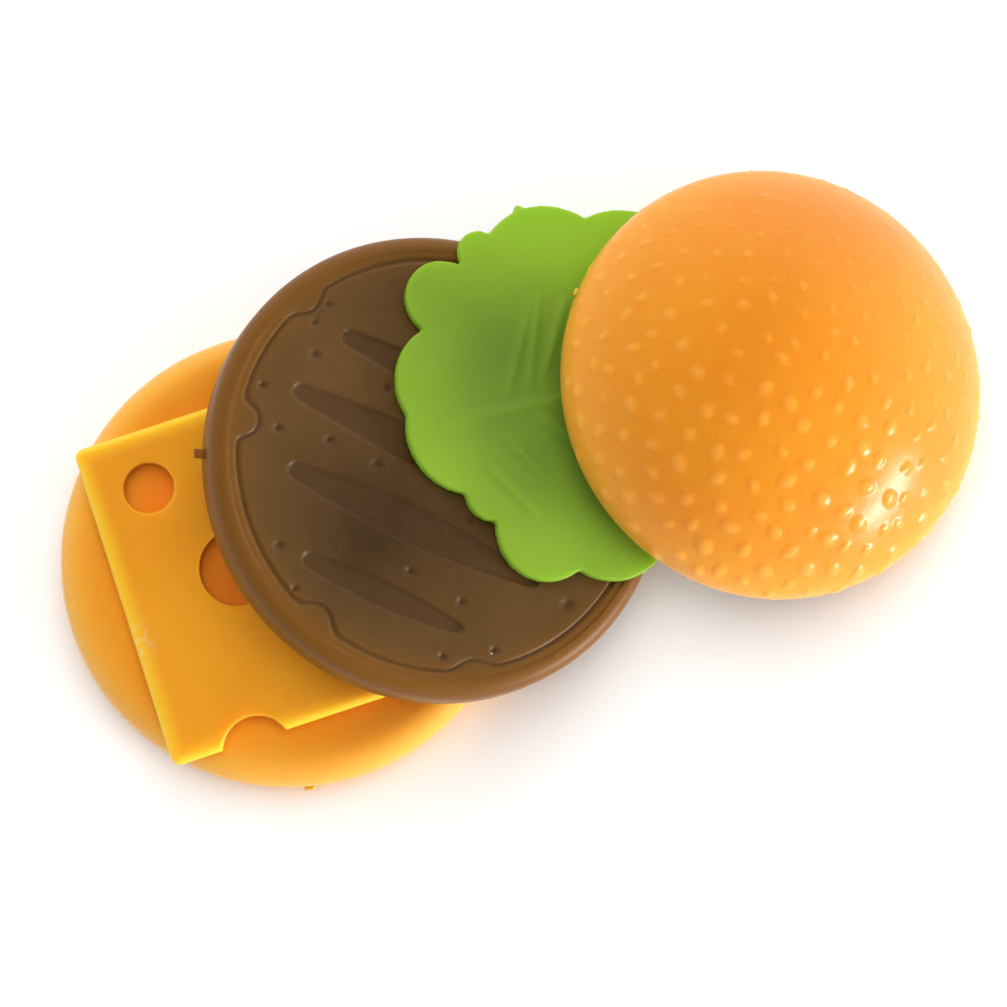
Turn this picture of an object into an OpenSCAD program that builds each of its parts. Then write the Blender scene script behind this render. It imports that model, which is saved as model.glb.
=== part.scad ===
// Toy burger for pretend play: five loose moulded pieces laid out as an overlapping fan.
// Millimetres, +Z up. The origin is the middle of the bottom bun's underside.
// The fan runs towards +X: bottom bun and cheese, then patty, lettuce and top bun.

/* [Fan layout] */
// Direction that the cheese is turned to and the patty leans towards, from +X
fan_angle = 19; // [10:1:30]
// How far the patty's middle lies along that direction
patty_along = 25; // [25:0.5:28]
// How far the patty's middle lies to its left
patty_aside = 5; // [0:0.5:8]
// Lettuce middle from the patty's middle, in the patty's own plane
leaf_shift = [22.5, 12.3]; // [0:0.5:30]
// Top bun's middle in plan
top_place = [73.5, 27]; // [0:0.5:80]
// Direction that the top bun leans towards, from +X
top_lean_angle = 12; // [0:1:20]
// Gap left between flat faces that rest on each other
rest_gap = 0.1; // [0.05:0.05:0.3]

/* [Bottom bun] */
// Diameter over the rounded side
bun_d = 71; // [66:0.5:76]
// Height
bun_h = 9; // [8:0.5:10]
// Wall of the moulded shell
bun_wall = 2; // [1.6:0.1:2.4]
// Radius round the top edge
bun_edge_r = 4.5; // [3:0.5:5]
// Radius round the bottom edge
bun_foot_r = 1.2; // [0.5:0.1:1.5]
// Thickness of the ribs under it
bun_rib_t = 1.4; // [1:0.1:2]
// Diameter of the boss in its middle, level with the rim
bun_boss_d = 12; // [8:1:16]

/* [Cheese slice] */
// Side of the square
cheese_side = 51; // [48:0.5:54]
// Thickness
cheese_t = 2.2; // [1.8:0.1:2.6]
// Radius of its corners
cheese_corner_r = 1.3; // [0.5:0.1:3]
// How far its middle lies behind the bun's middle, against the fan direction
cheese_back = 0.8; // [0:0.1:1.5]

/* [Patty] */
// Diameter
patty_d = 72; // [68:0.5:76]
// Thickness
patty_t = 7; // [6:0.5:8]
// Radius round the top edge
patty_edge_r = 2.6; // [1.5:0.1:3]
// Radius round the bottom edge
patty_foot_r = 1.2; // [0.5:0.1:1.5]
// Width of the smooth band outside the engraved line
patty_band = 3.8; // [3.5:0.1:6]
// Width of the engraved line
line_w = 0.8; // [0.5:0.1:1.2]
// Depth of the engraved line and of the grill marks
relief_depth = 0.5; // [0.3:0.1:0.8]
// Slope of the grill marks, from +X
mark_angle = -22; // [-35:0.5:-20]
// Width of a grill mark at its near end and at its far end
mark_ends = [2.6, 1.6]; // [1:0.1:3]

/* [Lettuce leaf] */
// Thickness
leaf_t = 2; // [1.6:0.1:2.4]
// Depth of the step round its edges
leaf_edge = 0.5; // [0.2:0.1:0.6]
// Height of the raised veins
vein_h = 0.4; // [0.2:0.1:0.6]

/* [Top bun] */
// Diameter over the rounded side
top_d = 67; // [64:0.5:70]
// Height of the crown
top_h = 24; // [20:0.5:26]
// Radius of the turn from crown to side
top_edge_r = 6; // [5:0.5:8]
// Height of the widest place above the rim
top_belly = 4.5; // [3:0.5:5]
// Wall of the moulded shell
top_wall = 2; // [1.6:0.1:2.4]
// Number of moulded seeds
seed_count = 150; // [40:1:180]
// Radius of the ball that each seed is the cap of
seed_r = 1.2; // [1:0.1:1.2]
// How far a seed stands out
seed_out = 0.45; // [0.3:0.05:0.6]

/* [Hidden] */
$fn = 96;
cut = 0.01;

// Colours
bun_orange = "#e8892e";
cheese_yellow = "#f2c21c";
patty_brown = "#6b4a2e";
leaf_green = "#86b53c";

// Where the patty rests: its flat underside on the cheese's straight edge, its far rim on the ground
bun_r = bun_d / 2;
patty_r = patty_d / 2;
top_r = top_d / 2;
cheese_z = bun_h + rest_gap;
cheese_edge = cheese_side / 2 - cheese_back;
lean_over = cheese_z + cheese_t + rest_gap;
past_edge = patty_along - cheese_edge;
function settle(lean, tries) =
    tries == 0 ? lean :
    settle(asin((lean_over - patty_foot_r * (1 - cos(lean)))
        / (patty_r - patty_foot_r + past_edge / cos(lean))), tries - 1);
patty_lean = settle(18, 12);
patty_place = [
    patty_along * cos(fan_angle) - patty_aside * sin(fan_angle),
    patty_along * sin(fan_angle) + patty_aside * cos(fan_angle),
    lean_over - past_edge * tan(patty_lean)
];

// Crown of the top bun: a ball of radius crown_r that runs smoothly into the rounded side
side_x = top_r - top_edge_r;
crown_rise = top_h - top_belly;
crown_r = (pow(side_x, 2) + pow(crown_rise, 2) - pow(top_edge_r, 2)) / (2 * (crown_rise - top_edge_r));
crown_z = top_h - crown_r;
crown_turn = atan2(side_x, top_belly - crown_z);
rim_r = side_x + sqrt(pow(top_edge_r, 2) - pow(top_belly, 2));
crown_length = crown_r * crown_turn * PI / 180;
// The seeds cover the crown, set out on a spiral
seeded_length = crown_length - 1.5;
golden_angle = 137.508;

// Where the top bun rests: rim on the lettuce on one side and on the ground on the other
function slope(lean, turn) = [sin(lean) * cos(turn), sin(lean) * sin(turn), cos(lean)];
leaf_normal = slope(patty_lean, fan_angle);
leaf_top = patty_place * leaf_normal + patty_t + rest_gap + leaf_t + vein_h + rest_gap;
function rim_gap(lean) =
    [top_place[0], top_place[1], rim_r * sin(lean)] * leaf_normal - leaf_top
    - rim_r * norm(cross(slope(lean, top_lean_angle), leaf_normal));
function halve(low, high, tries) =
    tries == 0 ? (low + high) / 2 :
    rim_gap((low + high) / 2) < 0 ? halve((low + high) / 2, high, tries - 1)
    : halve(low, (low + high) / 2, tries - 1);
top_lean = halve(0, 30, 24);
top_z = rim_r * sin(top_lean);

// Holes of the cheese in its own square: [x, y, radius]
cheese_holes = [[-16.1, 16.4, 3.9], [-6.8, 0.5, 6], [-12.7, -26, 5.1], [11, 9, 4.4], [8, -13, 3.4]];

// Grill marks of the patty: [x, y of the near end, length, widest part]
grill_marks = [
    [-15.9, 18.9, 36, 4.6], [-23.5, 10, 46, 5.6], [-24.1, -2.1, 42.3, 5.8], [-21.8, -15.6, 27, 4.2]
];
// Dimples of the patty: [x, y, radius]
dimples = [
    [-18.1, 23.4, 0.9], [-20.2, 20.4, 0.8], [-20.2, 15.4, 1.1], [-28.2, 10.1, 0.8], [-25.7, 3.7, 0.9],
    [-17.8, 2.4, 1], [-10.6, -0.9, 1.1], [-25.4, -14.1, 1], [-22.9, -20.6, 0.8], [-5.2, -17, 1],
    [2.8, -21.3, 1], [-0.2, -29.7, 0.9], [7.9, -28.4, 0.9], [19.6, -20.8, 1.3], [-8.5, 11, 0.9],
    [4.3, -8.6, 0.9], [2, 17, 1], [13, 19, 0.9], [24, 3, 1], [-2, 27, 0.8], [20, -1.5, 0.9]
];
// Bites that the engraved line makes inwards: [direction, depth, radius]
line_bites = [
    [132, 1.6, 2.6], [171.5, 2.9, 2.3], [231.5, 2.2, 2.8], [278.5, 1.4, 3.2], [20, 2.2, 2.4], [75, 1.8, 2.6]
];

// Lobes of the lettuce: [x, y, radius], going round its edge
lobes = [
    [6.6, 17.5, 12.3], [-5.7, 17.6, 11.8], [-17.3, 20.8, 3.4], [-22.9, 12.9, 6.1], [-21.2, -0.1, 9.4],
    [-18.9, -7.2, 10], [-15.2, -17, 4.3], [-6.8, -22.2, 7.9], [3.6, -19.8, 9.7], [13.5, -15.5, 7.6],
    [18, -6.8, 7.6], [18.8, 2.6, 7.6], [15.8, 11.2, 7.6]
];
// Raised veins of the lettuce: [x, y, x, y, width]
veins = [
    [-24.2, -6.9, -6, -2.4, 1.9], [-9.6, -3.3, 17, 6, 1.5], [-13.2, -2.4, -9.4, 13, 1.5],
    [-9.6, -1.2, -7.9, 15.4, 1.4], [-7.6, 0.2, -3.4, 15, 1.5], [-9.4, -3.2, 2, -10.5, 1.3],
    [-13.8, -7.6, -7, -14, 1.2], [-16.5, -12.4, -8, -20.5, 1.3]
];

module tilted(lean, turn) {
    rotate([0, 0, turn]) rotate([0, lean, 0]) rotate([0, 0, -turn]) children();
}

module on_patty() {
    translate(patty_place) tilted(patty_lean, fan_angle) children();
}

// Half section of a round slab with rounded edges, for turning about Z
module slab_profile(r, h, top_edge, foot_edge) {
    square([r - top_edge, h]);
    translate([0, foot_edge]) square([r, h - top_edge - foot_edge]);
    translate([r - top_edge, h - top_edge]) circle(top_edge);
    square([r - foot_edge, foot_edge]);
    intersection() {
        translate([r - foot_edge, foot_edge]) circle(foot_edge);
        square([r, h]);
    }
}

// Small stub left where the moulding was cut from its runner
module gate_stub(r, z, turn, size) {
    rotate([0, 0, turn]) translate([r - 0.5, -size[1] / 2, z]) cube([size[0] + 0.5, size[1], size[2]]);
}

module bottom_bun() {
    color(bun_orange) {
        difference() {
            rotate_extrude() slab_profile(bun_r, bun_h, bun_edge_r, bun_foot_r);
            translate([0, 0, -cut]) cylinder(r = bun_r - bun_wall, h = bun_h - bun_edge_r + cut);
            rotate_extrude() difference() {
                slab_profile(bun_r - bun_wall, bun_h - bun_wall, bun_edge_r - bun_wall, bun_foot_r);
                square([bun_r, bun_foot_r]);
            }
        }
        cylinder(d = bun_boss_d, h = bun_h - bun_wall / 2);
        for (turn = [45, 135])
            rotate([0, 0, turn]) translate([-bun_r + bun_wall / 2, -bun_rib_t / 2, 0])
                cube([bun_d - bun_wall, bun_rib_t, bun_h - bun_edge_r]);
        for (turn = [45, 135])
            rotate([0, 0, turn]) translate([-bun_r + bun_edge_r, -bun_rib_t / 2, 0])
                cube([bun_d - 2 * bun_edge_r, bun_rib_t, bun_h - bun_wall / 2]);
        gate_stub(bun_r, 3, -84, [0.5, 1.6, 1.2]);
    }
}

module cheese_slice() {
    reach = cheese_side / 2 - cheese_corner_r;
    color(cheese_yellow) rotate([0, 0, fan_angle]) translate([-cheese_back, 0, cheese_z]) difference() {
        linear_extrude(cheese_t) {
            square([cheese_side, 2 * reach], center = true);
            square([2 * reach, cheese_side], center = true);
            for (x = [-reach, reach], y = [-reach, reach]) translate([x, y]) circle(cheese_corner_r);
        }
        for (hole = cheese_holes)
            translate([hole[0], hole[1], -1]) cylinder(r = hole[2], h = cheese_t + 2);
    }
}

// Area inside the patty's engraved line, drawn in by shrink
module line_area(shrink) {
    line_r = patty_r - patty_band;
    difference() {
        circle(line_r - shrink);
        for (bite = line_bites)
            rotate(bite[0]) translate([line_r + bite[2] - bite[1], 0]) circle(bite[2] + shrink);
    }
}

// A long mark, widest in its middle, with blunt ends
module grill_mark(length, width) {
    steps = 14;
    function half(part) = (mark_ends[0] * (1 - part) + mark_ends[1] * part) / 2
        + (width - (mark_ends[0] + mark_ends[1]) / 2) / 2 * sin(180 * part);
    polygon([
        for (i = [0 : steps]) [length * i / steps, -half(i / steps)],
        for (i = [steps : -1 : 0]) [length * i / steps, half(i / steps)]
    ]);
}

module patty() {
    color(patty_brown) on_patty() {
        difference() {
            rotate_extrude() slab_profile(patty_r, patty_t, patty_edge_r, patty_foot_r);
            translate([0, 0, patty_t - relief_depth]) linear_extrude(1) difference() {
                line_area(0);
                line_area(line_w);
            }
            for (mark = grill_marks)
                translate([mark[0], mark[1], patty_t - relief_depth]) rotate([0, 0, mark_angle])
                    linear_extrude(1) grill_mark(mark[2], mark[3]);
            for (dimple = dimples)
                translate([dimple[0], dimple[1], patty_t + 0.2]) sphere(dimple[2]);
        }
        gate_stub(patty_r, 2.6, 176, [1.8, 1.5, 1]);
    }
}

module leaf_outline(shrink) {
    polygon([for (lobe = lobes) [lobe[0], lobe[1]]]);
    for (lobe = lobes) translate([lobe[0], lobe[1]]) circle(lobe[2] - shrink);
}

// A raised rib on the leaf, tapered to a point at both ends
module vein(from, to, width) {
    run = to - from;
    length = norm(run);
    translate(from) rotate(atan2(run[1], run[0])) polygon([
        [0, 0], [length / 4, -width / 2], [length * 3 / 4, -width / 2],
        [length, 0], [length * 3 / 4, width / 2], [length / 4, width / 2]
    ]);
}

module lettuce_leaf() {
    color(leaf_green) on_patty() translate([leaf_shift[0], leaf_shift[1], patty_t + rest_gap]) {
        linear_extrude(leaf_t) leaf_outline(leaf_edge);
        translate([0, 0, leaf_edge]) linear_extrude(leaf_t - 2 * leaf_edge) leaf_outline(0);
        translate([0, 0, leaf_t / 2]) linear_extrude(leaf_t / 2 + vein_h)
            for (line = veins) vein([line[0], line[1]], [line[2], line[3]], line[4]);
        translate([-10.9, 28.3, leaf_t / 2 - 0.5]) cylinder(r = 0.7, h = 1);
    }
}

// Half section of the crown, drawn in by shrink and no wider than reach_out
module crown_profile(shrink, reach_out) {
    far = 1.5 * crown_r;
    intersection() {
        translate([0, -cut * shrink]) square([reach_out, top_h + 1]);
        union() {
            intersection() {
                translate([0, crown_z]) circle(crown_r - shrink, $fn = 256);
                polygon([[0, crown_z], [far * sin(crown_turn), crown_z + far * cos(crown_turn)],
                    [0, crown_z + far]]);
            }
            translate([side_x, top_belly]) circle(top_edge_r - shrink);
            translate([0, -1]) square([side_x, top_belly + 1]);
            if (shrink > 0) translate([0, -1]) square([reach_out, top_belly + 1]);
        }
    }
}

// Stands its child on the crown at a distance down from the pole, along the surface
module on_crown(down, turn) {
    past = max(0, down - crown_length);
    tip = min(down, crown_length) / crown_r * 180 / PI;
    bend = tip + past / top_edge_r * 180 / PI;
    centre = past > 0 ? [side_x, top_belly] : [0, crown_z];
    ball = past > 0 ? top_edge_r : crown_r;
    rotate([0, 0, turn]) translate([centre[0] + ball * sin(bend), 0, centre[1] + ball * cos(bend)])
        rotate([0, bend, 0]) children();
}

module top_bun() {
    color(bun_orange) translate([top_place[0], top_place[1], top_z]) tilted(top_lean, top_lean_angle) {
        difference() {
            rotate_extrude() crown_profile(0, top_r);
            rotate_extrude() crown_profile(top_wall, rim_r - top_wall);
        }
        for (i = [0 : seed_count - 1])
            on_crown(seeded_length * sqrt((i + 0.5) / seed_count), i * golden_angle)
                translate([0, 0, seed_out - seed_r]) sphere(seed_r, $fn = 24);
        gate_stub(top_r, top_belly - 0.5, 158, [0.5, 1.2, 1]);
    }
}

bottom_bun();
cheese_slice();
patty();
lettuce_leaf();
top_bun();
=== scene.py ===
"""A toy burger for pretend play: five loose moulded pieces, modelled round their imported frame."""

import math

import bpy
import numpy as np
from mathutils import Matrix, Vector


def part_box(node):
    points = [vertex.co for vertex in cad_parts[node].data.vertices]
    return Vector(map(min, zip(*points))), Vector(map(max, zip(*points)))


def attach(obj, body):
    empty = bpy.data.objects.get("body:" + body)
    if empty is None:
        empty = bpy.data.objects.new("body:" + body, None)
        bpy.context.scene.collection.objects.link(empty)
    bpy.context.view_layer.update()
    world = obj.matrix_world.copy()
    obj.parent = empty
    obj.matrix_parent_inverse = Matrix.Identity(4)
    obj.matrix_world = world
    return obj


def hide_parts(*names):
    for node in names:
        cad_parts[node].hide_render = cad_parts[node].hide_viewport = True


bl_info = {
    "name": "Toy Burger Pieces",
    "version": (1, 0, 0),
    "blender": (4, 5, 0),
    "location": "View3D > Sidebar > Toy Burger",
    "description": "Models the moulded pieces of a toy burger round its packed frame",
    "category": "Object",
}

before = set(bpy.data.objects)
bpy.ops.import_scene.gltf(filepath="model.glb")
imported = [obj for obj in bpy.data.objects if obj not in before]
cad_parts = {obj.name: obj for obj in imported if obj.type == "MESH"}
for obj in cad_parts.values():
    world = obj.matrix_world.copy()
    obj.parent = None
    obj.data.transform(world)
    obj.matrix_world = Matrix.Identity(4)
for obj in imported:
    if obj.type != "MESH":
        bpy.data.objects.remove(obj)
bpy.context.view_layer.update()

MM = 0.001
UP = Vector((0, 0, 1))


# Places that come from the frame


def seat_of(node):
    """Where a CAD node lies: the matrix that carries an upright piece, resting on its origin, onto it."""
    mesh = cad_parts[node].data
    totals = {}
    for face in mesh.polygons:
        if face.normal.z < 0:
            key = tuple(round(part, 2) for part in face.normal)
            totals[key] = totals.get(key, Vector()) + face.normal * face.area
    down = max(totals.values(), key=lambda total: total.length).normalized()
    turn = UP.rotation_difference(-down).to_matrix()
    points = np.array([turn.transposed() @ vertex.co for vertex in mesh.vertices])
    under = points[points[:, 2] < points[:, 2].min() + 0.01 * MM]
    middle = (under.min(axis=0) + under.max(axis=0)) / 2
    return Matrix.Translation(turn @ Vector(middle)) @ turn.to_4x4()


def size_of(node):
    """The node's length along each axis, in metres."""
    low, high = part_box(node)
    return high - low


# Modelling helpers


def start_clean():
    """Leaves edit mode and deselects everything, so that the next operator acts on the new piece alone."""
    if bpy.context.object and bpy.context.object.mode != "OBJECT":
        bpy.ops.object.mode_set(mode="OBJECT")
    bpy.ops.object.select_all(action="DESELECT")


def choose(piece):
    """Selects one piece and makes it active."""
    start_clean()
    piece.select_set(True)
    bpy.context.view_layer.objects.active = piece


def points_of(piece):
    """The piece's vertices as an array."""
    flat = np.empty(len(piece.data.vertices) * 3)
    piece.data.vertices.foreach_get("co", flat)
    return flat.reshape(-1, 3)


def put_points(piece, points):
    """Moves the piece's vertices to the points."""
    piece.data.vertices.foreach_set("co", points.ravel())
    piece.data.update()


def mark(piece, name, values):
    """Keeps a number for each of the piece's vertices, for its material to read."""
    piece.data.attributes.new(name, "FLOAT", "POINT").data.foreach_set("value", values)


def smoothstep(low, high, value):
    """0 below low, 1 above high, with an S curve between them."""
    t = np.clip((value - low) / (high - low), 0, 1)
    return t * t * (3 - 2 * t)


def arc(centre, radius, start, end, count):
    """Points of an arc in a half section: distance from the axis, height. Angles are from straight up."""
    turns = np.radians(np.linspace(start, end, count))
    return [(centre[0] + radius * math.sin(t), centre[1] + radius * math.cos(t)) for t in turns]


def round_blank(name, cells):
    """A flat round sheet of radius 1 in square cells, with no pole in its middle."""
    start_clean()
    bpy.ops.mesh.primitive_grid_add(x_subdivisions=cells, y_subdivisions=cells, size=2)
    blank = bpy.context.object
    blank.name = blank.data.name = name
    points = points_of(blank)
    x, y = points[:, 0].copy(), points[:, 1].copy()
    points[:, 0] = x * np.sqrt(1 - y * y / 2)
    points[:, 1] = y * np.sqrt(1 - x * x / 2)
    put_points(blank, points)
    return blank


def lay_on_section(blank, section):
    """Spreads a round blank over the turned surface of a half section that starts on the axis."""
    points = points_of(blank)
    reach = np.hypot(points[:, 0], points[:, 1])
    section = np.array(section)
    run = np.concatenate(([0], np.cumsum(np.hypot(*np.diff(section, axis=0).T))))
    along = np.clip(reach, 0, 1) * run[-1]
    out = np.interp(along, run, section[:, 0]) / np.maximum(reach, 1e-9)
    points[:, 0] *= out
    points[:, 1] *= out
    points[:, 2] = np.interp(along, run, section[:, 1])
    put_points(blank, points)


def select_open_edge(piece):
    """In edit mode, selects the loop of edges that has a face on one side only."""
    bpy.ops.object.mode_set(mode="EDIT")
    bpy.ops.mesh.select_mode(type="EDGE")
    bpy.ops.mesh.select_all(action="DESELECT")
    bpy.ops.mesh.select_non_manifold(
        extend=False, use_wire=False, use_multi_face=False, use_non_contiguous=False
    )


def carry_edge(piece, section):
    """Extrudes a turned surface's open edge from a half section's first point to its last, and closes it."""
    choose(piece)
    select_open_edge(piece)
    last = section[0]
    for here in section[1:]:
        bpy.ops.mesh.extrude_region_move(TRANSFORM_OT_translate={"value": (0, 0, here[1] - last[1])})
        factor = here[0] / last[0]
        bpy.ops.transform.resize(value=(factor, factor, 1), center_override=(0, 0, 0))
        last = here
    bpy.ops.mesh.edge_face_add()
    bpy.ops.mesh.select_all(action="SELECT")
    bpy.ops.mesh.normals_make_consistent(inside=False)
    bpy.ops.object.mode_set(mode="OBJECT")


def rounded_bar(name, size, middle, edge, turn=0.0):
    """A block with rounded edges, turned about the upright axis after it is put in place."""
    start_clean()
    bpy.ops.mesh.primitive_cube_add(size=1, location=middle)
    bar = bpy.context.object
    bar.name = name
    bar.scale = size
    bpy.ops.object.transform_apply(location=True, rotation=False, scale=True)
    bpy.ops.object.mode_set(mode="EDIT")
    bpy.ops.mesh.select_all(action="SELECT")
    bpy.ops.mesh.bevel(offset=edge, segments=3, affect="EDGES")
    bpy.ops.object.mode_set(mode="OBJECT")
    bar.data.transform(Matrix.Rotation(turn, 4, "Z"))
    return bar


def post(name, radius, low, high, middle=(0, 0), sides=48):
    """An upright round post between two heights."""
    start_clean()
    bpy.ops.mesh.primitive_cylinder_add(
        vertices=sides, radius=radius, depth=high - low, location=(*middle, (low + high) / 2)
    )
    bpy.ops.object.transform_apply(location=True, rotation=False, scale=False)
    bpy.context.object.name = name
    return bpy.context.object


def combine(piece, others, operation):
    """Joins the other solids, then adds them to the piece or cuts them from it."""
    choose(others[0])
    for other in others[1:]:
        other.select_set(True)
    if len(others) > 1:
        bpy.ops.object.join()
    tool = bpy.context.object
    choose(piece)
    change = piece.modifiers.new("Combine", "BOOLEAN")
    change.operation = operation
    change.solver = "EXACT"
    change.use_self = len(others) > 1
    change.object = tool
    bpy.ops.object.modifier_apply(modifier=change.name)
    bpy.data.objects.remove(tool)


def melt(piece, grain, rounds):
    """Makes one closed skin of a piece's solids, in even cells, and rounds off its edges."""
    choose(piece)
    skin = piece.modifiers.new("Melt", "REMESH")
    skin.mode = "VOXEL"
    skin.voxel_size = grain
    skin.use_smooth_shade = True
    bpy.ops.object.modifier_apply(modifier=skin.name)
    soften = piece.modifiers.new("Soften", "SMOOTH")
    soften.factor = 0.5
    soften.iterations = rounds
    bpy.ops.object.modifier_apply(modifier=soften.name)


def join(piece, *others):
    """Makes the other solids loose parts of the piece's own mesh."""
    choose(piece)
    for other in others:
        other.select_set(True)
    bpy.ops.object.join()


def hand_over(piece, node, material, matrix):
    """Puts a finished piece in place of its CAD node: same place, same body, same material slot."""
    choose(piece)
    piece.data.materials.clear()
    piece.data.materials.append(material)
    piece.matrix_world = matrix
    bpy.ops.object.transform_apply(location=True, rotation=True, scale=True)
    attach(piece, node)
    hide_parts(node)


# Materials


class Wire:
    """A shader socket that adds Math nodes when it is used in an expression."""

    def __init__(self, graph, socket):
        self.graph = graph
        self.socket = socket

    def maths(self, operation, *values):
        """A Math node on the values, in their order."""
        return self.graph.node("ShaderNodeMath", {"operation": operation}, dict(enumerate(values)))

    def __add__(self, other):
        return self.maths("ADD", self, other)

    def __sub__(self, other):
        return self.maths("SUBTRACT", self, other)

    def __rsub__(self, other):
        return self.maths("SUBTRACT", other, self)

    def __mul__(self, other):
        return self.maths("MULTIPLY", self, other)

    __radd__ = __add__
    __rmul__ = __mul__

    def __abs__(self):
        return self.maths("ABSOLUTE", self)

    def greater(self, other):
        """The greater of this value and another."""
        return self.maths("MAXIMUM", self, other)

    def ramp(self, low, high):
        """0 at low and 1 at high, clamped, with an S curve between them. Low may be the higher number."""
        return self.graph.node(
            "ShaderNodeMapRange",
            {"interpolation_type": "SMOOTHSTEP"},
            {"Value": self, "From Min": low, "From Max": high},
        )


class Graph:
    """A node tree that is built from nothing."""

    def __init__(self, owner):
        owner.use_nodes = True
        self.tree = owner.node_tree
        self.tree.nodes.clear()

    def node(self, kind, settings, inputs, output=0):
        """Adds a node, sets it up, then sets or links its sockets. Returns an output, if it has any."""
        node = self.tree.nodes.new(kind)
        for name, value in settings.items():
            setattr(node, name, value)
        for name, value in inputs.items():
            if isinstance(value, Wire):
                self.tree.links.new(value.socket, node.inputs[name])
            else:
                node.inputs[name].default_value = value
        return Wire(self, node.outputs[output]) if node.outputs else None


class Finish(Graph):
    """A moulded plastic's material, which reads Object coordinates turned to lie square with its piece."""

    def __init__(self, name, matrix):
        self.material = bpy.data.materials.new(name)
        super().__init__(self.material)
        local = matrix.inverted()
        self.place = self.node(
            "ShaderNodeMapping",
            {},
            {
                "Vector": self.node("ShaderNodeTexCoord", {}, {}, "Object"),
                "Location": local.translation,
                "Rotation": local.to_euler(),
            },
        )

    def part(self, axis):
        """One of the place's three coordinates, in metres in the piece's own space."""
        return self.node("ShaderNodeSeparateXYZ", {}, {"Vector": self.place}, axis)

    def reach(self):
        """Distance from the piece's own upright axis."""
        flat = self.node("ShaderNodeVectorMath", {"operation": "MULTIPLY"}, {0: self.place, 1: (1, 1, 0)})
        return self.node("ShaderNodeVectorMath", {"operation": "LENGTH"}, {0: flat}, "Value")

    def noise(self, grain, detail=3.0, roughness=0.5, stretch=(1, 1, 1)):
        """Smooth noise, about 0.5 on average, whose lumps are about grain metres across."""
        place = self.node("ShaderNodeMapping", {}, {"Vector": self.place, "Scale": stretch})
        inputs = {"Vector": place, "Scale": 1 / grain, "Detail": detail, "Roughness": roughness}
        return self.node("ShaderNodeTexNoise", {}, inputs, "Fac")

    def specks(self, spacing, size, share):
        """1 inside scattered dots of a size, one in some of the cells of a spacing."""
        cells = {"Vector": self.place, "Scale": 1 / spacing}
        near = self.node("ShaderNodeTexVoronoi", {"feature": "F1"}, cells, "Distance")
        tint = self.node("ShaderNodeTexVoronoi", {"feature": "F1"}, cells, "Color")
        chosen = self.node("ShaderNodeSeparateColor", {}, {"Color": tint}, "Red")
        return near.ramp(size / spacing, 0.4 * size / spacing) * chosen.ramp(share, share - 0.01)

    def spot(self, middle, radius):
        """1 at a point of the piece's own space, falling to 0 at a distance."""
        ends = {0: self.place, 1: middle}
        away = self.node("ShaderNodeVectorMath", {"operation": "DISTANCE"}, ends, "Value")
        return away.ramp(radius, 0)

    def blend(self, factor, first, second):
        """A colour between two colours."""
        return self.node(
            "ShaderNodeMix",
            {"data_type": "RGBA"},
            {"Factor": factor, 6: first, 7: second},
            2,
        )

    def bump(self, height, distance, below=None):
        """A normal from a height, whose full step is a distance in metres."""
        inputs = {"Height": height, "Distance": distance}
        if below:
            inputs["Normal"] = below
        return self.node("ShaderNodeBump", {}, inputs)

    def plastic(self, colour, roughness, normal, glow, glow_depth, gloss=0.3, thin=0.0, thin_colour=None):
        """Finishes the material as a soft plastic. Thin is the share of light that goes through it."""
        surface = self.node(
            "ShaderNodeBsdfPrincipled",
            {"subsurface_method": "RANDOM_WALK"},
            {
                "Base Color": colour,
                "Roughness": roughness,
                "Normal": normal,
                "Subsurface Weight": glow,
                "Subsurface Radius": glow_depth,
                "Subsurface Scale": MM,
                "Specular IOR Level": gloss,
            },
        )
        if thin:
            through = self.node("ShaderNodeBsdfTranslucent", {}, {"Color": thin_colour})
            surface = self.node("ShaderNodeMixShader", {}, {0: thin, 1: surface, 2: through})
        self.node("ShaderNodeOutputMaterial", {}, {"Surface": surface})
        return self.material


def bun_finish(name, matrix, colours, face, glow_height, radius=None):
    """Orange moulded plastic with paler seeds and a yellow glow painted low down, where light shines
    through. A radius adds glow painted near the edge and a deep orange glow painted in the middle, where
    light comes through the cheese.
    """
    finish = Finish(name, matrix)
    cloud = finish.noise(28 * MM, 2.0)
    mottle = finish.noise(1.6 * MM, 4.0, 0.6)
    colour = finish.blend(cloud.ramp(0.35, 0.65) * 0.5, face, colours.bun_deep)
    # Painted glow: yellow orange painted low down and near the edge, standing in for light shining through
    # the plastic.
    rim = finish.part("Z").ramp(glow_height, 0)
    if radius:
        rim = rim.greater(finish.reach().ramp(radius - 7.5 * MM, radius))
    colour = finish.blend(rim * 0.7, colour, colours.bun_glow_and_mottle)
    if radius:
        # Painted glow: deep orange painted in the middle, standing in for light that comes through the
        # cheese into its holes.
        glow_under_cheese = finish.reach().ramp(radius - 6 * MM, radius - 14 * MM)
        colour = finish.blend(glow_under_cheese * 0.85, colour, colours.bun_glow_under_cheese)
    seed = finish.node("ShaderNodeAttribute", {"attribute_name": "seed"}, {}, "Fac")
    colour = finish.blend(seed * 0.17, colour, colours.seed)
    colour = finish.blend(mottle.ramp(0.55, 0.8) * 0.18, colour, colours.bun_glow_and_mottle)
    dust = finish.specks(7 * MM, 0.22 * MM, 0.35)
    colour = finish.blend(dust * 0.5, colour, colours.dust)
    rubs = finish.noise(0.5 * MM, 2.0, 0.5, (1, 9, 9)).ramp(0.62, 0.75)
    patch = finish.noise(12 * MM, 2.0).ramp(0.5, 0.7)
    roughness = 0.2 + 0.1 * mottle + 0.14 * rubs * patch
    peel = finish.noise(0.9 * MM, 2.0)
    normal = finish.bump(peel, 0.02 * MM)
    normal = finish.bump(rubs * patch, 0.008 * MM, normal)
    return finish.plastic(colour, roughness, normal, 0.8, (5, 1.6, 0.4))


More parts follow.
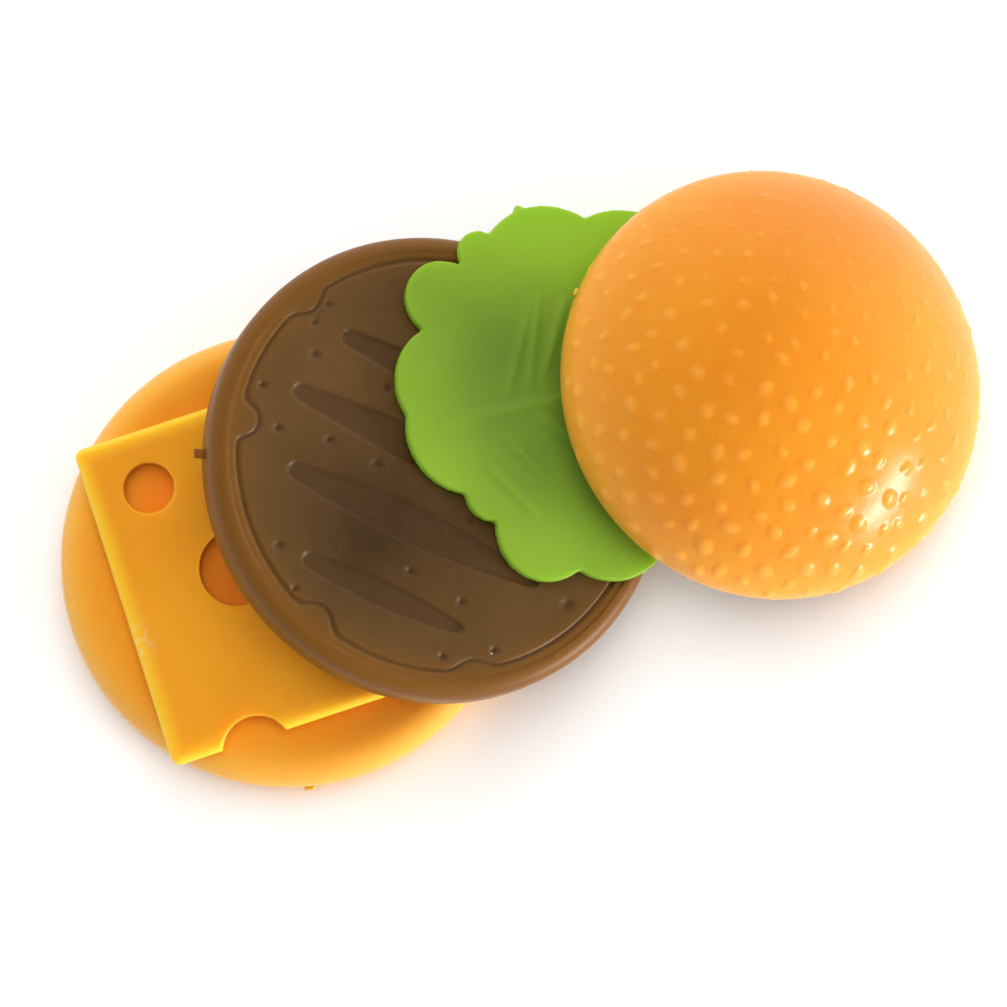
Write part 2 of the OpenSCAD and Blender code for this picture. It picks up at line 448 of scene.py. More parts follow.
def cheese_finish(matrix, sizes, colours):
    """Golden moulded plastic, with a yellow glow painted along its rounded edges where light shines through,
    and a pale rub near one edge.
    """
    finish = Finish("cheese_plastic", matrix)
    cloud = finish.noise(22 * MM, 2.0)
    mottle = finish.noise(1.2 * MM, 4.0, 0.6)
    colour = finish.blend(cloud.ramp(0.35, 0.65), colours.cheese, colours.cheese_deep)
    half = sizes.cheese_side / 2
    # Painted glow: yellow painted along the edges, standing in for light shining through the slice.
    towards_edge = abs(finish.part("X")).greater(abs(finish.part("Y")))
    colour = finish.blend(towards_edge.ramp(half - 3.2 * MM, half) * 0.9, colour, colours.cheese_glow_and_mottle)
    colour = finish.blend(mottle.ramp(0.55, 0.8) * 0.15, colour, colours.cheese_glow_and_mottle)
    smudge = finish.spot((-half, -6 * MM, 0), 5 * MM) * finish.noise(1.0 * MM).ramp(0.4, 0.7)
    colour = finish.blend(smudge * 0.5, colour, colours.dust)
    rubs = finish.noise(0.6 * MM, 2.0, 0.5, (8, 1, 8)).ramp(0.62, 0.75)
    roughness = 0.3 + 0.12 * mottle + 0.12 * rubs + 0.2 * smudge
    normal = finish.bump(finish.noise(1.1 * MM, 2.0), 0.02 * MM)
    return finish.plastic(colour, roughness, normal, 0.85, (4, 2, 0.4))


def patty_finish(matrix, sizes, colours):
    """Dark brown moulded plastic, with an amber glow painted on its rounded side where light comes through,
    and painted shade in its line, marks and dimples.
    """
    finish = Finish("patty_plastic", matrix)
    cloud = finish.noise(18 * MM, 3.0)
    mottle = finish.noise(1.1 * MM, 4.0, 0.65)
    # Darker by a random cloud and by a spot left of and below the middle.
    deep = 0.25 * cloud.ramp(0.3, 0.7) + 0.75 * finish.spot((-10 * MM, -9 * MM, 7 * MM), 26 * MM)
    colour = finish.blend(deep, colours.patty, colours.patty_deep)
    reach = finish.reach()
    edge = sizes.patty_width / 2
    # Painted glow: amber painted on the rounded side, standing in for light shining through it.
    colour = finish.blend(reach.ramp(edge - 2 * sizes.patty_band, edge) * 0.8, colour, colours.patty_glow_and_mottle)
    sunk = finish.node("ShaderNodeAttribute", {"attribute_name": "sunk"}, {}, "Fac")
    # Painted shade: darker brown painted in the line, grill marks and dimples, the deeper the darker.
    colour = finish.blend(sunk.ramp(0.3, 1.3) * 0.5, colour, colours.patty_recess_shade)
    colour = finish.blend(mottle.ramp(0.5, 0.8) * 0.2, colour, colours.patty_glow_and_mottle)
    dust = finish.specks(6 * MM, 0.25 * MM, 0.3)
    colour = finish.blend(dust * 0.7, colour, colours.dust)
    rubs = finish.noise(0.5 * MM, 2.0, 0.5, (1, 10, 10)).ramp(0.64, 0.76)
    roughness = 0.33 + 0.12 * mottle + 0.12 * rubs
    normal = finish.bump(finish.noise(0.8 * MM, 3.0), 0.03 * MM)
    return finish.plastic(colour, roughness, normal, 0.4, (3, 1.2, 0.4), 0.25)


def leaf_finish(matrix, colours):
    """Light green moulded plastic, with a pale yellow-green glow painted towards its lobed edge and over its
    far half, where light shines through from behind.
    """
    finish = Finish("leaf_plastic", matrix)
    cloud = finish.noise(16 * MM, 2.0)
    mottle = finish.noise(1.4 * MM, 4.0, 0.6)
    colour = finish.blend(cloud.ramp(0.35, 0.65), colours.leaf, colours.leaf_deep)
    # Painted glow: paler towards the lobed edge and over the far half, standing in for light shining through
    # the leaf.
    lobes = finish.reach().ramp(14 * MM, 30 * MM) * 0.5
    backlit_far_half = finish.part("Y").ramp(4 * MM, 24 * MM) * 0.9
    colour = finish.blend(lobes.greater(backlit_far_half), colour, colours.leaf_glow_and_mottle)
    colour = finish.blend(mottle.ramp(0.55, 0.8) * 0.15, colour, colours.leaf_glow_and_mottle)
    colour = finish.blend(finish.specks(9 * MM, 0.3 * MM, 0.25) * 0.6, colour, colours.dust)
    roughness = 0.34 + 0.12 * mottle
    normal = finish.bump(finish.noise(1.2 * MM, 2.0), 0.03 * MM)
    return finish.plastic(colour, roughness, normal, 0.6, (2.2, 4, 0.6), 0.35, 0.42, colours.leaf_glow_and_mottle)


# Relief of the patty, the leaf and the crown


# Grill marks: x and y of the near end, length, widest part, in millimetres
GRILL_MARKS = [
    (-15.9, 18.9, 36, 4.6), (-23.5, 10, 46, 5.6), (-24.1, -2.1, 42.3, 5.8), (-21.8, -15.6, 27, 4.2),
]
# Dimples: x, y, radius
DIMPLES = [
    (-18.1, 23.4, 0.9), (-20.2, 20.4, 0.8), (-20.2, 15.4, 1.1), (-28.2, 10.1, 0.8), (-25.7, 3.7, 0.9),
    (-17.8, 2.4, 1), (-10.6, -0.9, 1.1), (-25.4, -14.1, 1), (-22.9, -20.6, 0.8), (-5.2, -17, 1),
    (2.8, -21.3, 1), (-0.2, -29.7, 0.9), (7.9, -28.4, 0.9), (19.6, -20.8, 1.3), (-8.5, 11, 0.9),
    (4.3, -8.6, 0.9), (2, 17, 1), (13, 19, 0.9), (24, 3, 1), (-2, 27, 0.8), (20, -1.5, 0.9),
]
# Bites that the engraved line makes inwards: direction, depth, radius
LINE_BITES = [
    (132, 1.6, 2.6), (171.5, 2.9, 2.3), (231.5, 2.2, 2.8), (278.5, 1.4, 3.2), (20, 2.2, 2.4), (75, 1.8, 2.6),
]
# Lobes of the leaf, going round its edge: x, y, radius
LOBES = [
    (6.6, 17.5, 12.3), (-5.7, 17.6, 11.8), (-17.3, 20.8, 3.4), (-22.9, 12.9, 6.1), (-21.2, -0.1, 9.4),
    (-18.9, -7.2, 10), (-15.2, -17, 4.3), (-6.8, -22.2, 7.9), (3.6, -19.8, 9.7), (13.5, -15.5, 7.6),
    (18, -6.8, 7.6), (18.8, 2.6, 7.6), (15.8, 11.2, 7.6),
]
# Raised veins of the leaf: x and y of both ends, width
VEINS = [
    (-24.2, -6.9, -6, -2.4, 1.9), (-9.6, -3.3, 17, 6, 1.5), (-13.2, -2.4, -9.4, 13, 1.5),
    (-9.6, -1.2, -7.9, 15.4, 1.4), (-7.6, 0.2, -3.4, 15, 1.5), (-9.4, -3.2, 2, -10.5, 1.3),
    (-13.8, -7.6, -7, -14, 1.2), (-16.5, -12.4, -8, -20.5, 1.3),
]


FACE_DROP = 0.12  # how far the patty's face lies below the band outside the line, in millimetres
SEED_RISE = 0.22  # height of a seed of size 1, in millimetres
SEED_BELT = 3.2  # how far the seeds go on below the crown's turn to its side, in millimetres


def soft_max(first, second, blend):
    """The greater of two distances, with the corner where they are equal rounded off."""
    meet = np.clip(0.5 + 0.5 * (first - second) / blend, 0, 1)
    return second + (first - second) * meet + blend * meet * (1 - meet)


def line_distance(x, y, line_radius):
    """Distance outwards from the patty's engraved line, which dips in round each bite. In millimetres."""
    away = np.hypot(x, y) - line_radius
    for turn, deep, bite in LINE_BITES:
        turn = math.radians(turn)
        reach = line_radius + bite - deep
        inside = bite - np.hypot(x - reach * math.cos(turn), y - reach * math.sin(turn))
        away = soft_max(away, inside, 1.6)
    return away


def patty_relief(x, y, sizes):
    """How far the patty's top is sunk below its plain face, in millimetres."""
    depth = sizes.relief_depth / MM
    away = line_distance(x, y, (sizes.patty_width / 2 - sizes.patty_band) / MM)
    half_line = sizes.line_width / MM / 2
    sunk = FACE_DROP * (1 - smoothstep(-0.3, 0.3, away))
    sunk = np.maximum(sunk, depth * (1 - smoothstep(0, half_line + 0.35, np.abs(away + half_line))))
    near_width, far_width = sizes.mark_near_width / MM, sizes.mark_far_width / MM
    turn = sizes.mark_turn
    for start_x, start_y, length, width in GRILL_MARKS:
        along = (x - start_x) * math.cos(turn) + (y - start_y) * math.sin(turn)
        across = (y - start_y) * math.cos(turn) - (x - start_x) * math.sin(turn)
        part = np.clip(along / length, 0, 1)
        half = (near_width * (1 - part) + far_width * part) / 2
        half += (width - (near_width + far_width) / 2) / 2 * np.sin(math.pi * part)
        outside = soft_max(np.abs(across) - half, np.abs(along - length / 2) - length / 2, 1.5)
        sunk = np.maximum(sunk, (FACE_DROP + 0.9 * depth) * (1 - smoothstep(-0.3, 0.25, outside)))
    for dimple_x, dimple_y, radius in DIMPLES:
        near = np.hypot(x - dimple_x, (y - dimple_y) * 1.15) / (radius * 1.25)
        sunk = np.maximum(sunk, FACE_DROP + depth * (1 - smoothstep(0, 1, near)) * (near < 1))
    flow = np.abs(np.hypot(x + 4, y + 21) - 43.5)
    sunk -= 0.03 * np.exp(-((flow / 0.2) ** 2)) * (x < 0) * (y > 0)
    uneven = 0.05 * np.sin(x / 5.1 + 0.7 * np.sin(y / 7.3)) * np.cos(y / 6.2 - 0.5 * np.sin(x / 8.1))
    return sunk + uneven * (1 - smoothstep(-1, 0, away))


def leaf_waves(x, y, sizes):
    """How far the leaf's body lifts in soft waves, and how far its veins stand out, in millimetres."""
    reach = np.hypot(x, y) / 28
    waves = 0.25 + 0.25 * np.sin(x / 4.6 + 0.8 * np.sin(y / 6)) * np.cos(y / 5.3 + 0.6)
    waves = waves * smoothstep(0.2, 0.9, reach)
    stand = np.zeros_like(x)
    for x0, y0, x1, y1, width in VEINS:
        run = Vector((x1 - x0, y1 - y0))
        way = run.normalized()
        along = ((x - x0) * way.x + (y - y0) * way.y) / run.length
        across = np.abs((y - y0) * way.x - (x - x0) * way.y)
        taper = np.clip(4 * along * (1 - along), 0, 1) ** 0.6
        ridge = np.exp(-((across / (0.55 * width)) ** 2)) * taper * ((along > 0) & (along < 1))
        stand = np.maximum(stand, ridge)
    return waves, stand * sizes.vein_height / MM


def seeds(count, run):
    """Seeds on a spiral from the pole: distance down, direction, half length, half width, height, spin."""
    golden_angle = math.radians(137.508)
    chance = np.random.default_rng(19)
    for i in range(count):
        down = run * math.sqrt((i + 0.5) / count) + chance.uniform(-0.9, 0.9)
        way = golden_angle * i + chance.uniform(-0.9, 0.9) / max(down, 3)
        size = chance.uniform(0.78, 1.1) * (1 - 0.36 * math.cos(way - math.radians(70)) * min(1, down / 15))
        slim = chance.uniform(0.7, 0.84)
        yield abs(down), way, 1.22 * size, 1.22 * size * slim, SEED_RISE * size, chance.uniform(0, math.pi)


class CrownSection:
    """The crown's half section: the arc of a large ball over the top, then a tighter arc down the side."""

    def __init__(self, sizes):
        self.side = sizes.crown_side
        self.belly = sizes.crown_belly
        self.side_x = sizes.crown_width / 2 - self.side
        rise = sizes.crown_height - self.belly
        self.ball = (self.side_x ** 2 + rise ** 2 - self.side ** 2) / (2 * (rise - self.side))
        self.pole = sizes.crown_height - self.ball
        self.turn = math.atan2(self.side_x, self.belly - self.pole)
        self.over = self.turn * self.ball

    def outline(self):
        """The outer points, from the top of the crown to its bottom edge."""
        turn = math.degrees(self.turn)
        rim_turn = 90 + math.degrees(math.asin(self.belly / self.side))
        top = arc((0, self.pole), self.ball, 0, turn, 120)
        return top + arc((self.side_x, self.belly), self.side, turn, rim_turn, 60)[1:]

    def underside(self, wall):
        """The points from the bottom edge inwards, then up and over to the middle of the hollow."""
        rim = self.side_x + math.sqrt(self.side ** 2 - self.belly ** 2)
        inner = rim - wall
        under = self.ball - wall
        ceiling_turn = math.degrees(math.asin(inner / under))
        return [
            (rim, 0), (rim - 0.3 * MM, 0), (inner + 0.4 * MM, 0), (inner, 0.4 * MM),
            *arc((0, self.pole), under, ceiling_turn, 2, 10),
        ]

    def outwards(self, points):
        """The direction square to the crown at each of its points."""
        reach = np.hypot(points[:, 0], points[:, 1])
        on_ball = np.arctan2(reach, points[:, 2] - self.pole) < self.turn
        out = np.where(on_ball, 0, self.side_x / np.maximum(reach, 1e-9))
        up = np.where(on_ball, self.pole, self.belly)
        away = points - np.column_stack([out * points[:, 0], out * points[:, 1], up])
        return away / np.linalg.norm(away, axis=1)[:, None]

    def place(self, down):
        """The outline's point at a distance from the top, and how far the outline has turned there."""
        if down < self.over:
            hub, radius, bend = Vector((0, 0, self.pole)), self.ball, down / self.ball
        else:
            hub, radius = Vector((self.side_x, 0, self.belly)), self.side
            bend = self.turn + (down - self.over) / self.side
        return hub + radius * Vector((math.sin(bend), 0, math.cos(bend))), bend

    def seed_lift(self, points, count):
        """How far the seeds lift each of the crown's points, in millimetres."""
        lift = np.zeros(len(points))
        for down, way, half, width, stand, spin in seeds(count, self.over / MM + SEED_BELT):
            centre, bend = self.place(down * MM)
            round_axis = Matrix.Rotation(way, 3, "Z")
            tilt = round_axis @ Matrix.Rotation(bend, 3, "Y") @ Matrix.Rotation(spin, 3, "Z")
            local = (points - np.array(round_axis @ centre)) @ np.array(tilt) / MM
            near = np.hypot(local[:, 0] / half, local[:, 1] / width)
            bump = stand * (1 - np.clip(near, 0, 1) ** 2.4) ** 1.3 * (np.abs(local[:, 2]) < 1.5)
            lift = np.maximum(lift, bump)
        return lift


# Sizes and colours that a user would change


def length(name, about, default):
    return bpy.props.FloatProperty(name=name, description=about, default=default, unit="LENGTH", min=0)


def angle(name, about, degrees):
    return bpy.props.FloatProperty(
        name=name, description=about, default=math.radians(degrees), subtype="ANGLE"
    )


def paint(name, about, default):
    return bpy.props.FloatVectorProperty(
        name=name, description=about, default=(*default, 1), size=4, subtype="COLOR", min=0, max=1
    )


class BurgerSizes(bpy.types.PropertyGroup):
    """Sizes of the pieces that the frame's boxes don't give"""

    bun_edge: length("Bun edge", "Radius round the bottom bun's top edge", 4.5 * MM)
    bun_foot: length("Bun foot", "Radius round the bottom bun's bottom edge", 1.2 * MM)
    wall: length("Shell wall", "Wall of both moulded bun shells", 2 * MM)
    rib: length("Rib", "Thickness of the ribs under the bottom bun", 1.4 * MM)
    boss: length("Boss", "Diameter of the boss under the bottom bun", 12 * MM)
    cheese_side: length("Cheese side", "Side of the cheese slice", 51 * MM)
    cheese_turn: angle("Cheese turn", "How far the slice is turned", 19)
    patty_width: length("Patty width", "Diameter of the patty", 72 * MM)
    patty_height: length("Patty height", "Thickness of the patty", 7 * MM)
    patty_edge: length("Patty edge", "Radius round the patty's top edge", 2.6 * MM)
    patty_foot: length("Patty foot", "Radius round the patty's bottom edge", 1.2 * MM)
    patty_band: length("Patty band", "Width of the smooth band outside the engraved line", 3.8 * MM)
    line_width: length("Line width", "Width of the engraved line", 0.8 * MM)
    relief_depth: length("Relief depth", "Depth of the patty's line, marks and dimples", 0.5 * MM)
    mark_near_width: length("Mark near width", "Width of a grill mark at its near end", 2.6 * MM)
    mark_far_width: length("Mark far width", "Width of a grill mark at its far end", 1.6 * MM)
    mark_turn: angle("Mark turn", "Slope of the grill marks", -22)
    leaf_height: length("Leaf thickness", "Thickness of the leaf between its waves", 1.7 * MM)
    vein_height: length("Vein height", "How far the veins stand out", 0.45 * MM)
    crown_width: length("Crown width", "Diameter of the top bun", 67 * MM)
    crown_height: length("Crown height", "Height of the top bun", 24 * MM)
    crown_side: length("Crown side", "Radius of the turn from crown to side", 6 * MM)
    crown_belly: length("Crown belly", "Height of the top bun's widest place", 4.5 * MM)
    seed_count: bpy.props.IntProperty(
        name="Seeds", description="Seeds moulded on the crown", default=225, min=0
    )


class BurgerColours(bpy.types.PropertyGroup):
    """Colours of the moulded plastics"""

    bun: paint("Top bun", "Orange of the top bun", (0.74, 0.275, 0.016))
    bun_low: paint("Bottom bun", "Orange of the bottom bun", (0.9, 0.325, 0.02))
    bun_deep: paint("Bun, deeper", "Orange where the plastic is thickest", (0.74, 0.225, 0.012))
    # Painted glow of light shining through the rim; also the colour of the random mottle.
    bun_glow_and_mottle: paint("Bun rim", "Yellow orange where light comes through", (0.93, 0.47, 0.07))
    # Painted glow under the cheese, standing in for light that comes through it.
    bun_glow_under_cheese: paint("Bun core", "Deep orange under the cheese", (1, 0.235, 0.014))
    seed: paint("Seed", "Pale orange of the raised seeds", (0.95, 0.48, 0.12))
    cheese: paint("Cheese", "Gold of the slice", (0.8, 0.345, 0.018))
    cheese_deep: paint("Cheese, deeper", "Gold where the plastic is thickest", (0.77, 0.315, 0.016))
    # Painted glow along the slice's edges; also the colour of the random mottle.
    cheese_glow_and_mottle: paint("Cheese edge", "Yellow along the edges", (0.9, 0.56, 0.03))
    patty: paint("Patty", "Brown of the patty", (0.118, 0.058, 0.016))
    # Darker brown of the random cloud and of a spot near the patty's middle.
    patty_deep: paint("Patty, deeper", "Brown where the plastic is thickest", (0.032, 0.016, 0.004))
    # Painted shade in the line, grill marks and dimples.
    patty_recess_shade: paint("Patty, sunk", "Brown of the grill marks and dimples", (0.055, 0.024, 0.009))
    # Painted glow on the patty's rounded side; also the colour of the random mottle.
    patty_glow_and_mottle: paint("Patty rim", "Amber of the patty's rounded side", (0.19, 0.074, 0.006))
    leaf: paint("Leaf", "Green of the leaf", (0.25, 0.415, 0.05))
    leaf_deep: paint("Leaf, deeper", "Green where the plastic is thickest", (0.22, 0.375, 0.047))
    # Painted glow of light through the lobes and far half; also the random mottle and the colour of the
    # light that goes through the leaf.
    leaf_glow_and_mottle: paint("Leaf edge", "Green of the lobes", (0.42, 0.66, 0.05))
    dust: paint("Dust", "Specks of dust and pale rubs", (0.85, 0.8, 0.68))


def sizes():
    return bpy.context.scene.burger_sizes


def colours():
    return bpy.context.scene.burger_colours


# The pieces


class BURGER_OT_bottom_bun(bpy.types.Operator):
    """Model the bottom bun: a round shell with a boss and ribs under it"""

    bl_idname = "burger.bottom_bun"
    bl_label = "Bottom Bun"

    def execute(self, context):
        s = sizes()
        radius = size_of("bottom_bun").x / 2
        height = size_of("bottom_bun").z
        edge, foot, wall = s.bun_edge, s.bun_foot, s.wall
        bun = round_blank("bottom_bun_shell", 96)
        lay_on_section(bun, [(0, height), *arc((radius - edge, height - edge), edge, 0, 90, 16)])
        inner = radius - wall
        carry_edge(bun, [
            (radius, height - edge), (radius, height * 0.35), *arc((radius - foot, foot), foot, 90, 180, 6),
            *arc((inner + 0.4 * MM, 0.4 * MM), 0.4 * MM, 180, 270, 4), (inner, height - edge),
            *arc((radius - edge, height - edge), edge - wall, 90, 0, 7)[1:],
        ])
        ceiling = height - wall / 2
        ribs = [post("boss", s.boss / 2, 0, ceiling)]
        for turn in (45, 135):
            size = (2 * radius - 2 * edge, s.rib, ceiling)
            ribs.append(rounded_bar("rib", size, (0, 0, ceiling / 2), 0.2 * MM, math.radians(turn)))
        combine(bun, ribs, "UNION")
        stub_size = (1.2 * MM, 1.6 * MM, 1.1 * MM)
        join(bun, rounded_bar("stub", stub_size, (radius, 0, 3.6 * MM), 0.25 * MM, math.radians(-84)))
        bpy.ops.object.shade_smooth_by_angle(angle=math.radians(32))
        matrix, paints = Matrix.Identity(4), colours()
        finish = bun_finish("bottom_bun_plastic", matrix, paints, paints.bun_low, 5 * MM, radius)
        hand_over(bun, "bottom_bun", finish, matrix)
        return {"FINISHED"}


class BURGER_OT_cheese_slice(bpy.types.Operator):
    """Model the cheese slice: a square sheet with rounded edges and holes"""

    bl_idname = "burger.cheese_slice"
    bl_label = "Cheese Slice"

    holes = [(-16.1, 16.4, 3.9), (-6.8, 0.5, 6), (-12.6, -27.1, 5.3), (11, 9, 4.4), (8, -13, 3.4)]
    corner = 1.3 * MM

    def execute(self, context):
        s = sizes()
        thick = size_of("cheese_slice").z
        low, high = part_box("cheese_slice")
        middle = (low + high) / 2
        start_clean()
        bpy.ops.mesh.primitive_cube_add(size=1, location=(0, 0, thick / 2))
        sheet = bpy.context.object
        sheet.name = "cheese_slice_sheet"
        sheet.scale = (s.cheese_side, s.cheese_side, thick)
        bpy.ops.object.transform_apply(location=True, rotation=False, scale=True)
        bpy.ops.object.mode_set(mode="EDIT")
        bpy.ops.mesh.select_mode(type="EDGE")
        bpy.ops.object.mode_set(mode="OBJECT")
        for edge in sheet.data.edges:
            ends = [sheet.data.vertices[i].co for i in edge.vertices]
            edge.select = abs(ends[0].z - ends[1].z) > thick / 2
        bpy.ops.object.mode_set(mode="EDIT")
        bpy.ops.mesh.bevel(offset=self.corner, segments=8, affect="EDGES")
        bpy.ops.object.mode_set(mode="OBJECT")
        cutters = [
            post("hole", r * MM, -MM, thick + MM, (x * MM, y * MM), 96) for x, y, r in self.holes
        ]
        combine(sheet, cutters, "DIFFERENCE")
        melt(sheet, 0.26 * MM, 5)
        bpy.ops.object.shade_smooth()
        matrix = Matrix.Translation((middle.x, middle.y, low.z)) @ Matrix.Rotation(s.cheese_turn, 4, "Z")
        hand_over(sheet, "cheese_slice", cheese_finish(matrix, s, colours()), matrix)
        return {"FINISHED"}


class BURGER_OT_patty(bpy.types.Operator):
    """Model the patty: a round slab with an engraved line, grill marks and dimples"""

    bl_idname = "burger.patty"
    bl_label = "Patty"

    def execute(self, context):
        s = sizes()
        radius, height, edge, foot = s.patty_width / 2, s.patty_height, s.patty_edge, s.patty_foot
        patty = round_blank("patty_slab", 256)
        points = points_of(patty)
        points[:, :2] *= radius - edge
        sunk = patty_relief(points[:, 0] / MM, points[:, 1] / MM, s)
        points[:, 2] = height - MM * sunk
        rim = np.hypot(points[:, 0], points[:, 1]) > radius - edge - 0.05 * MM
        points[rim, 2] = height
        put_points(patty, points)
        # How deep each point is sunk, which the material uses for painted shade in the recesses.
        mark(patty, "sunk", sunk * MM / s.relief_depth)
        carry_edge(patty, [
            *arc((radius - edge, height - edge), edge, 0, 90, 10),
            *arc((radius - foot, foot), foot, 90, 180, 5), (radius - 6 * MM, 0),
        ])
        stub_size = (2.2 * MM, 1.4 * MM, 0.6 * MM)
        stub_place = (radius + 0.5 * MM, 0, 3.1 * MM)
        join(patty, rounded_bar("stub", stub_size, stub_place, 0.2 * MM, math.radians(180.3)))
        bpy.ops.object.shade_smooth_by_angle(angle=math.radians(50))
        matrix = seat_of("patty")
        hand_over(patty, "patty", patty_finish(matrix, s, colours()), matrix)
        return {"FINISHED"}


class BURGER_OT_lettuce_leaf(bpy.types.Operator):
    """Model the lettuce leaf: a lobed sheet with soft edges, waves and raised veins"""

    bl_idname = "burger.lettuce_leaf"
    bl_label = "Lettuce Leaf"

    def execute(self, context):
        s = sizes()
        thick = s.leaf_height
        lobes = np.array(LOBES) * MM
        parts = [post("lobe", r, 0, thick, (x, y), 64) for x, y, r in lobes]
        start_clean()
        bpy.ops.mesh.primitive_circle_add(vertices=len(LOBES), fill_type="NGON")
        body = bpy.context.object
        body.name = "lettuce_leaf_sheet"
        put_points(body, np.column_stack([lobes[:, :2], np.zeros(len(LOBES))]))
        bpy.ops.object.mode_set(mode="EDIT")
        bpy.ops.mesh.select_all(action="SELECT")
        bpy.ops.mesh.extrude_region_move(TRANSFORM_OT_translate={"value": (0, 0, thick)})
        bpy.ops.mesh.select_all(action="SELECT")
        bpy.ops.mesh.normals_make_consistent(inside=False)
        bpy.ops.object.mode_set(mode="OBJECT")
        gate = post("gate", 0.7 * MM, 0.5 * MM, 1.5 * MM, (-10.9 * MM, 28.4 * MM), 16)
        join(body, gate, *parts)
        melt(body, 0.34 * MM, 5)
        points = points_of(body)
        waves, stand = leaf_waves(points[:, 0] / MM, points[:, 1] / MM, s)
        top = smoothstep(0.3, 0.9, points[:, 2] / thick)
        points[:, 2] += MM * (waves + stand * top)
        points[:, 2] -= points[:, 2].min()
        put_points(body, points)
        bpy.ops.object.shade_smooth()
        low = (lobes[:, :2] - lobes[:, 2:]).min(axis=0)
        high = (lobes[:, :2] + lobes[:, 2:]).max(axis=0)
        middle = (low + high) / 2
        matrix = seat_of("lettuce_leaf") @ Matrix.Translation((-middle[0], -middle[1], 0))
        hand_over(body, "lettuce_leaf", leaf_finish(matrix, colours()), matrix)
        return {"FINISHED"}


class BURGER_OT_top_bun(bpy.types.Operator):
    """Model the top bun: a crowned shell with seeds moulded on it"""

    bl_idname = "burger.top_bun"
    bl_label = "Top Bun"

    def execute(self, context):
        s = sizes()
        section = CrownSection(s)
        crown = round_blank("top_bun_crown", 256)
        lay_on_section(crown, section.outline())
        points = points_of(crown)
        lift = section.seed_lift(points, s.seed_count)
        put_points(crown, points + section.outwards(points) * lift[:, None] * MM)
        mark(crown, "seed", lift / SEED_RISE)
        carry_edge(crown, section.underside(s.wall))
        stub_size = (1.1 * MM, 1.2 * MM, 1 * MM)
        stub_place = (s.crown_width / 2, 0, s.crown_belly)
        join(crown, rounded_bar("stub", stub_size, stub_place, 0.25 * MM, math.radians(158)))
        bpy.ops.object.shade_smooth_by_angle(angle=math.radians(50))
        matrix = seat_of("top_bun")
        paints = colours()
        finish = bun_finish("top_bun_plastic", matrix, paints, paints.bun, 15 * MM)
        hand_over(crown, "top_bun", finish, matrix)
        return {"FINISHED"}


LAMP_DISTANCE = 0.8  # metres
CAMERA_DISTANCE = 0.435  # metres
CAMERA_LENS = 100.6  # millimetres, for the sensor's width
CAMERA_SENSOR = 36  # millimetres


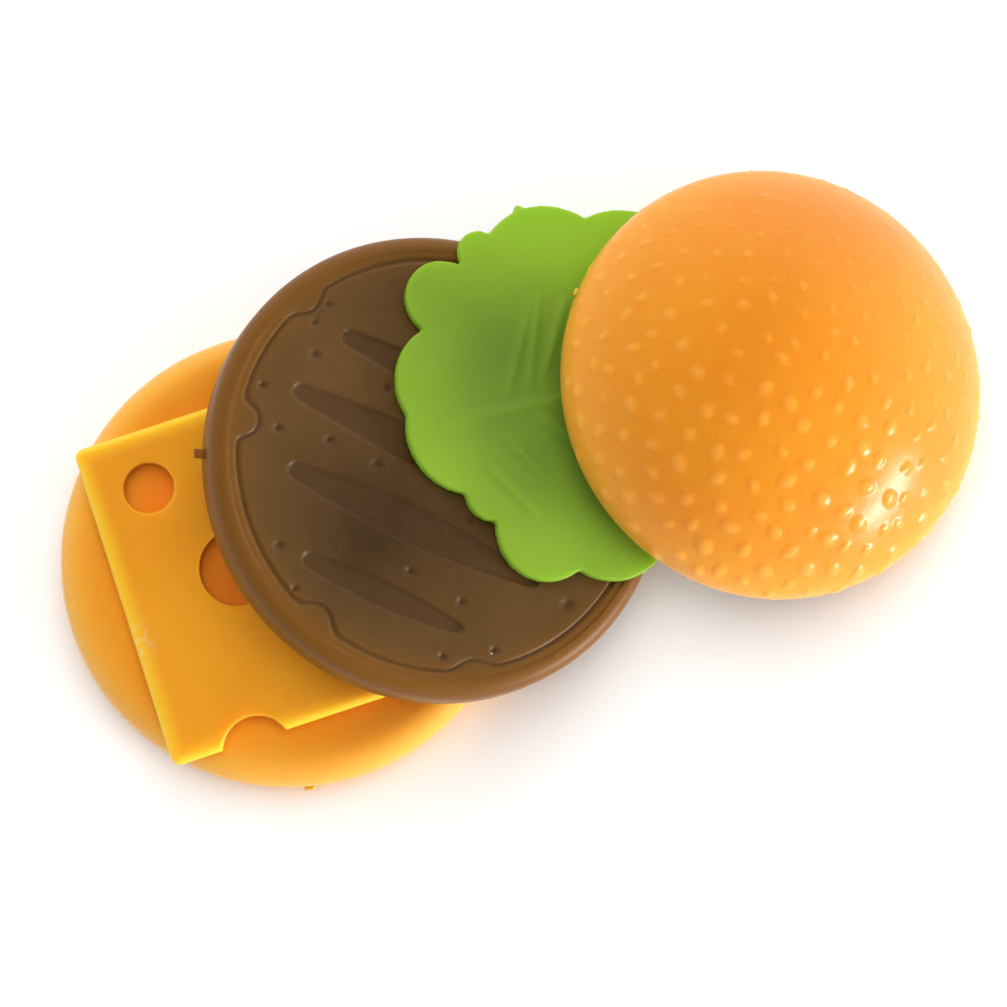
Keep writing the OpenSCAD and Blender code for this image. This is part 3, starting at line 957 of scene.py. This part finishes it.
class BURGER_OT_stage(bpy.types.Operator):
    """Set the floor, the soft light and the camera"""

    bl_idname = "burger.stage"
    bl_label = "Stage"

    def execute(self, context):
        start_clean()
        bpy.ops.mesh.primitive_plane_add(size=6)
        floor = bpy.context.object
        floor.name = "floor"
        paper = bpy.data.materials.new("pale_floor")
        paper.use_nodes = True
        shader = paper.node_tree.nodes["Principled BSDF"]
        shader.inputs["Base Color"].default_value = (0.95, 0.95, 0.95, 1)
        shader.inputs["Roughness"].default_value = 0.9
        floor.data.materials.append(paper)

        world = bpy.data.worlds.new("soft_room")
        room = Graph(world)
        way = room.node("ShaderNodeTexCoord", {}, {}, "Generated")
        across, along, height = [room.node("ShaderNodeSeparateXYZ", {}, {0: way}, axis) for axis in "XYZ"]
        light = (0.98 - 0.86 * height.ramp(0.2, 0.88)) * (1 + 0.15 * along + 0.15 * across)
        sky = room.node("ShaderNodeBackground", {}, {"Color": (1, 1, 1, 1), "Strength": light})
        room.node("ShaderNodeOutputWorld", {}, {"Surface": sky})
        context.scene.world = world

        middle = Vector((33.2, 8.5, 8)) * MM
        self.lamp("side_light", middle, -28, 4.2, (0.34, 0.08), 4.2, (1, 0.98, 0.94))
        self.lamp("side_glow", middle, -34, 8, (0.6, 0.16), 3.6, (1, 0.98, 0.94), False)
        self.lamp("fill", middle, 100, 68, (1, 1), 7.6, (1, 1, 1), False)

        start_clean()
        bpy.ops.object.camera_add()
        camera = context.object
        camera.name = "camera"
        camera.data.sensor_width = CAMERA_SENSOR
        camera.data.lens = CAMERA_LENS
        lift, turn, roll = math.radians(83.9), math.radians(0.7), math.radians(-0.1)
        way = Vector((math.sin(turn) * math.cos(lift), -math.cos(turn) * math.cos(lift), math.sin(lift)))
        camera.location = middle + way * CAMERA_DISTANCE
        facing = Matrix.Rotation(turn, 3, "Z") @ Matrix.Rotation(math.pi / 2 - lift, 3, "X")
        camera.rotation_euler = (facing @ Matrix.Rotation(roll, 3, "Z")).to_euler()
        context.scene.camera = camera
        context.scene.view_settings.view_transform = "Standard"
        return {"FINISHED"}

    def lamp(self, name, target, turn, height, size, power, colour, mirrored=True):
        """A soft rectangular light that faces the object from a direction, and shows in its gloss or not."""
        turn, height = math.radians(turn), math.radians(height)
        level = math.cos(height)
        way = Vector((math.cos(turn) * level, math.sin(turn) * level, math.sin(height)))
        bpy.ops.object.light_add(type="AREA", location=target + way * LAMP_DISTANCE)
        light = bpy.context.object
        light.name = name
        light.rotation_euler = way.to_track_quat("Z", "Y").to_euler()
        light.data.shape = "RECTANGLE"
        light.data.size, light.data.size_y = size
        light.data.energy = power
        light.data.color = colour
        light.visible_glossy = mirrored


class BURGER_PT_pieces(bpy.types.Panel):
    """Buttons for the pieces and their sizes"""

    bl_label = "Toy Burger"
    bl_idname = "BURGER_PT_pieces"
    bl_space_type = "VIEW_3D"
    bl_region_type = "UI"
    bl_category = "Toy Burger"

    def draw(self, context):
        layout = self.layout
        for operator in PIECES:
            layout.operator(operator.bl_idname)
        for group in (context.scene.burger_sizes, context.scene.burger_colours):
            box = layout.box()
            for name in group.bl_rna.properties.keys():
                if name not in ("rna_type", "name"):
                    box.prop(group, name)


PIECES = (
    BURGER_OT_stage,
    BURGER_OT_bottom_bun,
    BURGER_OT_cheese_slice,
    BURGER_OT_patty,
    BURGER_OT_lettuce_leaf,
    BURGER_OT_top_bun,
)
CLASSES = (BurgerSizes, BurgerColours, *PIECES, BURGER_PT_pieces)


def register():
    for item in CLASSES:
        bpy.utils.register_class(item)
    bpy.types.Scene.burger_sizes = bpy.props.PointerProperty(type=BurgerSizes)
    bpy.types.Scene.burger_colours = bpy.props.PointerProperty(type=BurgerColours)


def unregister():
    del bpy.types.Scene.burger_sizes
    del bpy.types.Scene.burger_colours
    for item in reversed(CLASSES):
        bpy.utils.unregister_class(item)


def main():
    register()
    bpy.ops.burger.stage()
    bpy.ops.burger.bottom_bun()
    bpy.ops.burger.cheese_slice()
    bpy.ops.burger.patty()
    bpy.ops.burger.lettuce_leaf()
    bpy.ops.burger.top_bun()


if __name__ == "__main__":
    main()
